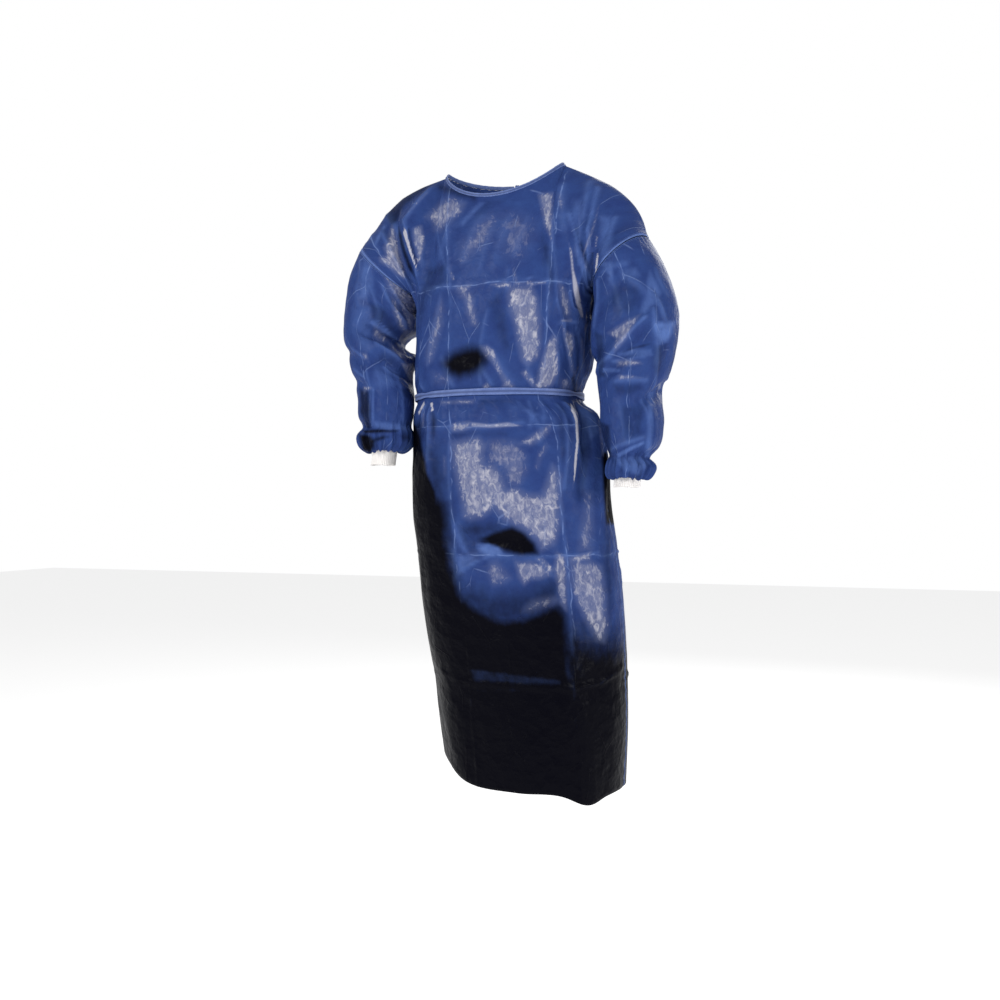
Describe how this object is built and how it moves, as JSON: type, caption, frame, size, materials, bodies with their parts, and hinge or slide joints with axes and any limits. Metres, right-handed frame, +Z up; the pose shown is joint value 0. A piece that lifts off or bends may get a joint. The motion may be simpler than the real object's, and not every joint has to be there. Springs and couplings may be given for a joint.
{
  "type": "visitor isolation gown",
  "caption": "Thin blue nonwoven visitor gown, filled out as worn, with bloused long sleeves, white knitted cuffs, a bound round neck, a waist tie and an open lapped back.",
  "frame": {"origin": "midway between the two points where the neck edge meets the shoulder lines, where the wearer's shoulders hold the gown", "axes": "+Z up, from the hem to the neck; -Y out of the front; +X towards the wearer's left"},
  "size_m": [0.699, 0.3032, 1.2242],
  "materials": {
    "blue_nonwoven": "smooth film-faced nonwoven with a soft cloudy sheen",
    "blue_binding": "folded nonwoven strip, slightly lighter than the gown",
    "white_rib_knit": "matt ribbed knit"
  },
  "bodies": {
    "root": {"front": "blue_nonwoven", "back_left": "blue_nonwoven", "back_right": "blue_nonwoven", "sleeve_left": "blue_nonwoven", "sleeve_right": "blue_nonwoven", "cuff_left": "white_rib_knit", "cuff_right": "white_rib_knit", "neck_binding": "blue_binding", "neck_knot": "blue_binding", "neck_tail_left": "blue_binding", "neck_tail_right": "blue_binding", "belt": "blue_binding", "belt_knot": "blue_binding", "belt_tail_left": "blue_binding", "belt_tail_right": "blue_binding"}
  },
  "joints": []
}
